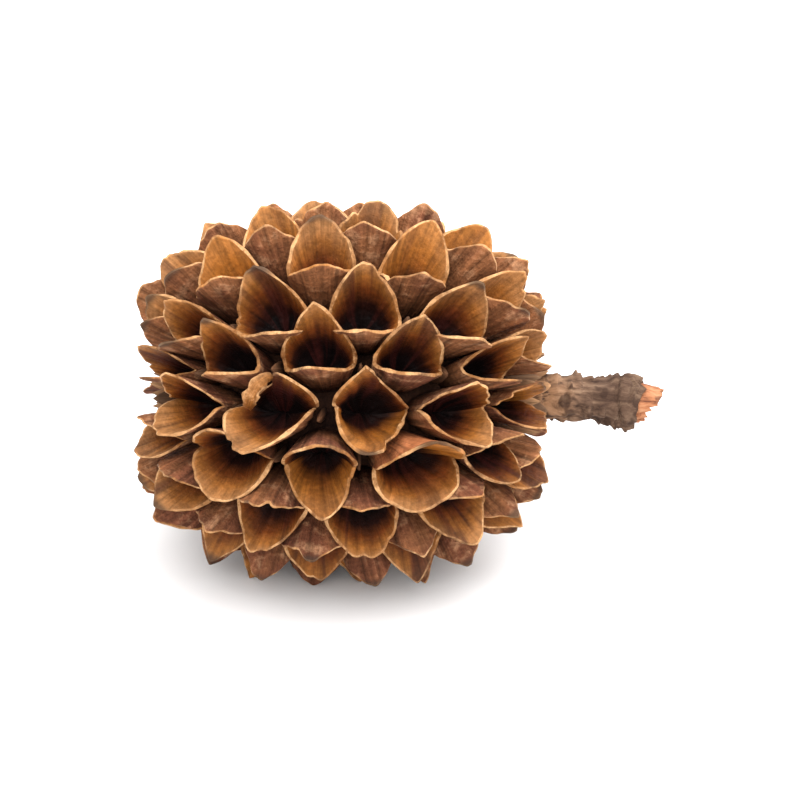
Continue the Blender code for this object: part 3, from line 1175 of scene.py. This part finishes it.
@dataclass
class Flap:
    """The strip of a torn valve edge, curled away from its rim in the row above the middle."""

    sides: int = 16
    levels: int = 26
    look_seed: int = 17
    # The strip's middle line, as columns, rings and heights on the cone.
    places: tuple[tuple[float, float, float], ...] = (
        (1.72, 3.12, 0.60), (1.71, 3.02, 0.69), (1.60, 2.86, 0.74), (1.42, 2.72, 0.71),
        (1.25, 2.62, 0.63), (1.12, 2.56, 0.53),
    )
    half_width: float = 0.33 * MM
    half_thickness: float = 0.07 * MM
    lean: float = 0.9
    bow_share: float = 0.25
    step: float = 0.05
    tone_and_light: float = 0.6
    ragged: Waves = (range(2, 9), 0.18)

    def line(self, share: np.ndarray) -> list[np.ndarray]:
        """The columns, rings and heights of the middle line at shares of its length."""
        stations = np.linspace(0, 1, len(self.places))
        return [np.interp(share, stations, values) for values in zip(*self.places)]

    def build(self) -> list[bpy.types.Object]:
        """Builds the strip, swept along its line.

        Returns:
            The strip as the only piece.
        """
        made = tube("torn_edge", self.sides, self.levels)
        angle, level, on_wall = tube_places(made)
        share = level / (self.levels - 1)
        column, ring, height = self.line(share)
        centre = LATTICE.points(column, ring, height)
        ahead, behind = self.line(share + self.step), self.line(share - self.step)
        along = LATTICE.points(*ahead) - LATTICE.points(*behind)
        along /= np.linalg.norm(along, axis=1)[:, None]
        outward = LATTICE.points(column, ring, height + self.step) - centre
        outward -= along * np.sum(outward * along, axis=1)[:, None]
        outward /= np.linalg.norm(outward, axis=1)[:, None]
        flat = math.cos(self.lean) * outward + math.sin(self.lean) * np.cross(along, outward)
        normal = np.cross(along, flat)
        narrow = (1 - share**7) ** 0.7 * (1 - (1 - share) ** 6) ** 0.7 + 0.05
        draw = random.Random(self.look_seed)
        narrow = narrow * (1 + waves(share * TURN, draw, *self.ragged)) * on_wall
        wide = np.cos(angle) * self.half_width * narrow
        thick = np.sin(angle) * self.half_thickness * narrow
        bow = self.bow_share * self.half_width * np.cos(angle) ** 2 * on_wall
        place_vertices(made, centre + flat * wide[:, None] + normal * (thick + bow)[:, None])
        paint(made, "rise", 0.85 - 0.12 * share)
        paint(made, "outer", 0.35 + 0.35 * np.sin(angle))
        paint(made, "rim", 0.30 + 0.70 * smooth_step(0.45, 1.0, np.abs(np.cos(angle))))
        paint(made, "flank", np.ones_like(angle))
        paint(made, "tone_and_light", np.full_like(angle, self.tone_and_light))
        paint(made, "burnt", np.zeros_like(angle))
        paint(made, "grain", np.stack([6 * wide, thick, share * 9 * MM], axis=-1))
        finish_piece(made, bpy.data.materials["valve_wood"], "cone")
        return [made]


@dataclass
class Core:
    """The barrel that the cups stand on, seen as the rough floor between them."""

    roughness: float = 0.05
    bumps_round: Waves = (range(9, 30), 0.5)
    bumps_along: Waves = (range(5, 22), 0.5)
    dome_rings: Pair = (-0.3, -1.2)
    dome_height: float = 0.36
    pole_gap: float = 1e-4
    sides: int = 180
    levels: int = 120
    look_seed: int = 21

    def build(self) -> list[bpy.types.Object]:
        """Builds the barrel from tip to stalk.

        Returns:
            The barrel as the only piece.
        """
        made = tube("core", self.sides, self.levels)
        angle, level, on_wall = tube_places(made)
        share = level / (self.levels - 1)
        draw = random.Random(self.look_seed)
        bumps = waves(angle, draw, *self.bumps_round)
        bumps = bumps * waves(share * PHASES, draw, *self.bumps_along)
        outline_angle = np.clip(share * math.pi, self.pole_gap, math.pi - self.pole_gap)
        start, full = LATTICE.angles(np.array(self.dome_rings))
        from_end = np.minimum(outline_angle, math.pi - outline_angle)
        dome = self.dome_height * (1 - smooth_step(full, start, from_end))
        height = dome + self.roughness * bumps
        along, out = LATTICE.outline(outline_angle, *LATTICE.barrel(height))
        place_vertices(made, LATTICE.placed(along, out * on_wall, angle + math.pi / 2))
        finish_piece(made, CoreFinish().material(), "cone")
        return [made]


@dataclass(frozen=True)
class Whorl:
    """A ring of narrow scales round one end of the cone."""

    ring: float
    count: int
    height: float
    half_width: float
    lean: float
    first: float


@dataclass
class Scales:
    """The bracts between the cups and the sterile scales at both ends."""

    look_seed: int = 31
    sides: int = 12
    levels: int = 9
    foot_height: float = 0.05
    bract_height: float = 0.46
    bract_half_width: float = 0.17
    bract_lean: float = 0.05
    bract_tone: float = 0.55
    # The rings and columns of the bracts that the widest cups cover.
    covered: tuple[tuple[int, int], ...] = ((6, 1), (7, 0))
    half_thickness: float = 0.16 * MM
    tip_spread: float = 0.10
    side_spread: float = 0.10
    fold: float = 0.10
    uneven: Waves = (range(2, 6), 0.25)
    grain_lengths: tuple[float, float, float] = (0.6 * MM, 0.3 * MM, 3.5 * MM)

    def whorls(self) -> list[Whorl]:
        """The rings of sterile scales.

        Returns:
            Those from the tip's pole to the cups, and then those from the cups to the stalk.
        """
        last = LATTICE.rings - 1
        return [
            Whorl(-0.85, 9, 0.66, 0.62, 0.05, 1.0),
            Whorl(-1.20, 9, 0.64, 0.70, 0.10, 0.0),
            Whorl(-1.65, 9, 0.60, 0.95, 0.15, 1.0),
            Whorl(-2.15, 7, 0.57, 1.4, 0.20, 0.5),
            Whorl(-2.65, 5, 0.54, 2.4, 0.20, 0.5),
            Whorl(last + 0.85, 9, 0.80, 0.62, -0.05, 1.0 + last % 2),
            Whorl(last + 1.25, 9, 0.76, 0.66, -0.10, 0.0 + last % 2),
            Whorl(last + 1.70, 12, 0.74, 0.60, -0.15, 0.4),
        ]

    def shape(
        self, scale: bpy.types.Object, column: float, ring: float, height: float,
        half_width: float, lean: float, tone: float, draw: random.Random,
    ) -> None:
        """Moves a copy of the plain tube to one scale's place and paints it.

        Args:
            scale: The fresh tube.
            column: The scale's column.
            ring: The scale's ring.
            height: The height of its tip.
            half_width: Half its width at the foot, in columns.
            lean: How far its tip leans towards the cone's tip, in rings.
            tone: How far its colour runs towards the pale tip, up to 1.
            draw: The random source for its finer form.
        """
        angle, level, on_wall = tube_places(scale)
        rise = level / (self.levels - 1)
        tip = height * (1 + draw.uniform(-self.tip_spread, self.tip_spread))
        narrow = (1 - rise**2.4) ** 0.75 * (1 + 0.15 * np.sin(math.pi * rise)) + 0.04
        narrow = narrow * on_wall
        side = draw.uniform(-self.side_spread, self.side_spread)
        u = np.cos(angle) * half_width * narrow + side * rise**2
        v = np.sin(angle) * self.half_thickness / LATTICE.ring_spacing * narrow**0.6
        v = v * (1 + waves(angle, draw, *self.uneven)) - lean * rise**1.5
        v = v + self.fold * half_width * np.cos(2 * angle) * narrow
        place_height = self.foot_height + (tip - self.foot_height) * rise
        place_vertices(scale, LATTICE.points(column + u, ring + v, place_height))
        paint(scale, "rise", tone * rise)
        paint(scale, "tone_and_light", np.full_like(angle, draw.random()))
        offset = [draw.uniform(0, 1) for _ in range(3)]
        grain = np.stack([np.cos(angle), np.sin(angle), place_height], axis=-1)
        paint(scale, "grain", grain * self.grain_lengths + offset)

    def build(self) -> list[bpy.types.Object]:
        """Builds the bracts and the end scales.

        Returns:
            The bracts as one object and the scales of each end as another.
        """
        material = ScaleFinish().material()
        plain = tube("plain_scale", self.sides, self.levels, mirrored=True)
        draw = random.Random(self.look_seed)
        groups: dict[str, list[bpy.types.Object]] = {"bracts": [], "tip_scales": [], "base_scales": []}
        for ring in range(-1, LATTICE.rings + 1):
            for number in range(LATTICE.cups_in_ring):
                column = 2 * number + (ring + 1) % 2
                half_width = self.bract_half_width * (1 + draw.uniform(-0.25, 0.25))
                place = ring + draw.uniform(-0.05, 0.05)
                if (ring, column) in self.covered:
                    continue
                made = copy_of(plain, "bract")
                self.shape(made, column, place, self.bract_height, half_width, self.bract_lean,
                           self.bract_tone, draw)
                groups["bracts"].append(made)
        for whorl in self.whorls():
            group = "tip_scales" if whorl.ring < 0 else "base_scales"
            for number in range(whorl.count):
                column = whorl.first + number * LATTICE.columns / whorl.count
                made = copy_of(plain, "scale")
                self.shape(made, column + draw.uniform(-0.15, 0.15), whorl.ring, whorl.height,
                           whorl.half_width, whorl.lean, 1.0, draw)
                groups[group].append(made)
        bpy.data.objects.remove(plain)
        found = [joined(scales, name) for name, scales in groups.items()]
        for made in found:
            finish_piece(made, material, "cone")
        return found


# The stalk


@dataclass
class Stalk:
    """The stalk: cracked bark over a knuckle, and the splintered wood of its broken end."""

    look_seed: int = 41
    sides: int = 80
    levels: int = 150
    start: float = 6.6 * MM
    end: float = 12.75 * MM
    radius: float = 0.88 * MM
    drop: float = 0.35 * MM
    bark_wave: float = 0.055
    flake_depth: float = 0.13 * MM
    flakes: int = 60
    seam_place: float = 11.75 * MM
    seam_width: float = 0.09 * MM
    seam_depth: float = 0.16 * MM
    collar_whorls: tuple[tuple[float, int, float], ...] = (
        (6.85 * MM, 7, 1.15 * MM), (7.25 * MM, 7, 1.05 * MM), (7.75 * MM, 6, 0.95 * MM),
    )
    collar_half_width: float = 0.36 * MM
    collar_half_thickness: float = 0.06 * MM
    collar_gap: float = 0.03 * MM
    collar_sides: int = 12
    collar_levels: int = 9
    bark_slant: float = 0.5 * MM
    twisted_ridges: int = 6
    twisted_height: float = 0.55
    seam_wave: float = 0.12 * MM
    wood_slant: float = 1.0 * MM
    face_depth: float = 0.30 * MM
    wood_side_share: float = 0.72
    wood_sides: int = 40
    wood_levels: int = 18
    wood_start: float = 11.6 * MM
    wood_end: float = 13.55 * MM
    wood_radius: float = 0.86 * MM
    # Where the solid's stalk starts, and the place, width and rise of its two knuckles.
    solid_start: float = 7.19 * MM
    knuckles: tuple[tuple[float, float, float], ...] = (
        (0.40, 0.07, 0.08 * MM), (0.76, 0.09, 0.26 * MM),
    )
    ragged_end: Waves = (range(3, 14), 0.16 * MM)
    ridges: Waves = (range(5, 13), 1.0)
    splinters: Waves = (range(4, 19), 0.20 * MM)
    rough_face: Waves = (range(3, 9), 0.5)
    wood_wave: Waves = (range(5, 15), 0.05)

    def share(self, along: np.ndarray) -> np.ndarray:
        """How far along the solid's stalk distances from the cone's middle lie."""
        return (along - self.solid_start) / (LATTICE.stalk_end - self.solid_start)

    def placed(self, along: np.ndarray, angle: np.ndarray, radius: np.ndarray) -> np.ndarray:
        """Points round the stalk's middle line, which sinks towards its end.

        Args:
            along: Distances along the axis from the cone's middle.
            angle: Angles round the middle line.
            radius: Distances from it.

        Returns:
            One row of three coordinates for each point.
        """
        middle = LATTICE.middle()
        line = middle.z - self.drop * np.clip(self.share(along), 0, 1) ** 2
        across, up = np.cos(angle) * radius, np.sin(angle) * radius
        return np.stack([middle.x + along, middle.y + across, line + up], axis=-1)

    def bark_radius(self, along: np.ndarray) -> np.ndarray:
        """The bark's radius, swollen at its knuckles.

        Args:
            along: Distances along the axis from the cone's middle.

        Returns:
            The radius at each.
        """
        total = np.full_like(along, self.radius)
        for place, width, rise in self.knuckles:
            total = total + rise * np.exp(-(((self.share(along) - place) / width) ** 2))
        return total

    def bark(self) -> bpy.types.Object:
        """Builds the bark sleeve with its ragged end.

        Returns:
            The sleeve.
        """
        made = tube("stalk_bark", self.sides, self.levels)
        angle, level, on_wall = tube_places(made)
        share = level / (self.levels - 1)
        draw = random.Random(self.look_seed)
        slant = -self.bark_slant * (1 - np.sin(angle)) / 2 + waves(angle, draw, *self.ragged_end)
        along = self.start + share * (self.end - self.start) + slant * share**4
        ridges = waves(angle, draw, *self.ridges)
        for _ in range(self.twisted_ridges):
            phase, turns = draw.uniform(0, PHASES), draw.randint(2, 6)
            count = draw.randint(8, 26)
            ridges = ridges + self.twisted_height * np.sin(count * share + turns * angle + phase)
        radius = self.bark_radius(along) * (1 + self.bark_wave * ridges)
        seam = (along - self.seam_place - self.seam_wave * np.sin(2 * angle)) / self.seam_width
        radius = radius - self.seam_depth * np.exp(-(seam**2))
        for _ in range(self.flakes):
            middle, turn = draw.uniform(0, 1), draw.uniform(-math.pi, math.pi)
            length, width = draw.uniform(0.02, 0.07), draw.uniform(0.25, 0.7)
            step = smooth_step(-length, length * 0.6, share - middle)
            end = 1 - smooth_step(length * 0.7, length, share - middle)
            beside = np.exp(-((angle_from(turn, angle) / width) ** 4))
            radius = radius + self.flake_depth * step * end * beside
        place_vertices(made, self.placed(along, angle, radius * on_wall))
        paint(made, "rise", share)
        finish_piece(made, BarkFinish().material(), "stalk")
        return made

    def wood(self) -> bpy.types.Object:
        """Builds the broken wood, which stands out of the bark with a splintered slant.

        Returns:
            The wood.
        """
        made = tube("broken_wood", self.wood_sides, self.wood_levels)
        angle, level, on_wall = tube_places(made)
        share = level / (self.wood_levels - 1)
        draw = random.Random(self.look_seed + 1)
        slant = -self.wood_slant * (1 - np.sin(angle)) / 2 + waves(angle, draw, *self.splinters)
        side = self.wood_side_share
        face = np.clip((share - side) / (1 - side), 0, 1)
        along = self.wood_start + np.clip(share / side, 0, 1) * (self.wood_end - self.wood_start)
        along = along + slant * smooth_step(0.3, side, share) * on_wall
        along = along - self.face_depth * face * (1 + waves(angle, draw, *self.rough_face))
        radius = self.wood_radius * (1 - 0.10 * smooth_step(0.4, side, share)) * (1 - face**1.3 * 0.96)
        radius = radius * (1 + waves(angle, draw, *self.wood_wave))
        place_vertices(made, self.placed(along, angle, radius * on_wall))
        finish_piece(made, BrokenWoodFinish().material(), "stalk")
        return made

    def collar(self) -> bpy.types.Object:
        """Builds the small scales that hug the stalk beside the cone.

        Returns:
            The scales as one object.
        """
        plain = tube("plain_collar", self.collar_sides, self.collar_levels)
        draw = random.Random(self.look_seed + 2)
        made = []
        for start, count, length in self.collar_whorls:
            first = draw.uniform(0, PHASES)
            for number in range(count):
                scale = copy_of(plain, "collar_scale")
                angle, level, on_wall = tube_places(scale)
                rise = level / (self.collar_levels - 1)
                turn = first + TURN * number / count + draw.uniform(-0.15, 0.15)
                flare = draw.uniform(0.05, 0.30) * MM
                long = length * draw.uniform(0.8, 1.15)
                narrow = ((1 - rise**2.2) ** 0.7 + 0.05) * on_wall
                along = start + rise * long
                radius = self.bark_radius(along) + self.collar_gap + flare * rise**2
                radius = radius + np.sin(angle) * self.collar_half_thickness * narrow
                aside = np.cos(angle) * self.collar_half_width * narrow / self.radius
                aside = aside + draw.uniform(-0.15, 0.15) * rise
                place_vertices(scale, self.placed(along, turn + aside, radius))
                paint(scale, "rise", 0.35 + 0.6 * rise)
                paint(scale, "tone_and_light", np.full_like(angle, draw.random()))
                offset = draw.uniform(0, 1)
                grain = np.stack([aside * MM + offset, radius * 0.2, along * 2], axis=-1)
                paint(scale, "grain", grain)
                made.append(scale)
        bpy.data.objects.remove(plain)
        collar = joined(made, "stalk_collar")
        finish_piece(collar, bpy.data.materials["scale_wood"], "stalk")
        return collar

    def build(self) -> list[bpy.types.Object]:
        """Builds the bark, the broken wood and the collar of scales."""
        return [self.bark(), self.wood(), self.collar()]


# The studio


@dataclass
class Studio:
    """A plain pale floor, soft light and the camera."""

    elevation: float = 30.0
    roll: float = 1.0
    lens: float = 300.0
    sensor: float = 36.0
    frame_width: float = 34 * MM
    floor_side: float = 1.2
    floor_colour: Colour = (0.76, 0.75, 0.75)
    world_colour: Colour = (0.90, 0.89, 0.88)
    world_strength: float = 1.25
    aim_drop: float = 0.6 * MM
    nearest: float = 0.01
    farthest: float = 10.0
    light_distance: float = 0.45
    # Each light's azimuth and elevation in degrees, its side in metres and its power in watts.
    lights: tuple[tuple[str, float, float, float, float], ...] = (
        ("key", -35, 64, 0.60, 3.4),
        ("fill", 70, 45, 0.60, 1.7),
        ("back", 135, 50, 0.50, 2.2),
        ("front", 0, 15, 0.60, 0.3),
    )

    def floor(self) -> None:
        """Makes the floor."""
        deselect_all()
        bpy.ops.mesh.primitive_plane_add(size=self.floor_side)
        floor = bpy.context.object
        floor.name = "floor"
        shader = Shader("floor_paper", specular=0.2)
        shader.surface.inputs["Base Color"].default_value = (*self.floor_colour, 1.0)
        shader.surface.inputs["Roughness"].default_value = 0.9
        floor.data.materials.append(shader.material)

    def light(self, name: str, azimuth: float, elevation: float, size: float, power: float) -> None:
        """Hangs one square area light, aimed at the cone.

        Args:
            name: The light's name.
            azimuth: Its direction round the cone in degrees, 0 in front and 90 on the right.
            elevation: Its height above the floor in degrees.
            size: The side of its square.
            power: Its power in watts.
        """
        data = bpy.data.lights.new(name, "AREA")
        data.size = size
        data.energy = power
        lamp = bpy.data.objects.new(name, data)
        turn, rise = math.radians(azimuth), math.radians(elevation)
        level = math.cos(rise)
        away = Vector((math.sin(turn) * level, -math.cos(turn) * level, math.sin(rise)))
        lamp.location = away * self.light_distance
        lamp.rotation_euler = away.to_track_quat("Z", "Y").to_euler()
        bpy.context.scene.collection.objects.link(lamp)

    def camera(self) -> None:
        """Places the camera at the viewing angle of the photograph."""
        low, high = CAD_BOX
        aim = (low + high) / 2 + Vector((0, 0, -self.aim_drop))
        rise = math.radians(self.elevation)
        away = Vector((0, -math.cos(rise), math.sin(rise)))
        data = bpy.data.cameras.new("camera")
        data.lens = self.lens
        data.sensor_width = self.sensor
        data.clip_start = self.nearest
        data.clip_end = self.farthest
        camera = bpy.data.objects.new("camera", data)
        camera.location = aim + away * (self.lens * self.frame_width / self.sensor)
        roll = Matrix.Rotation(math.radians(self.roll), 3, "Z")
        camera.rotation_euler = (away.to_track_quat("Z", "Y").to_matrix() @ roll).to_euler()
        bpy.context.scene.collection.objects.link(camera)
        bpy.context.scene.camera = camera

    def build(self) -> None:
        """Makes the floor, the lights, the world and the camera."""
        self.floor()
        for light in self.lights:
            self.light(*light)
        world = bpy.data.worlds.new("soft_room")
        world.use_nodes = True
        background = world.node_tree.nodes["Background"]
        background.inputs["Color"].default_value = (*self.world_colour, 1.0)
        background.inputs["Strength"].default_value = self.world_strength
        bpy.context.scene.world = world
        bpy.context.scene.view_settings.view_transform = "Standard"
        self.camera()


def main() -> None:
    """Builds the studio and then the cone from its core outwards, and reports each piece."""
    logging.basicConfig(level=logging.INFO, format="%(name)s: %(message)s")
    Studio().build()
    for assembly in (Core(), Cups(), Flap(), Scales(), Stalk()):
        for piece in assembly.build():
            LOG.info("%s: %d faces", piece.name, len(piece.data.polygons))


if __name__ == "__main__":
    main()
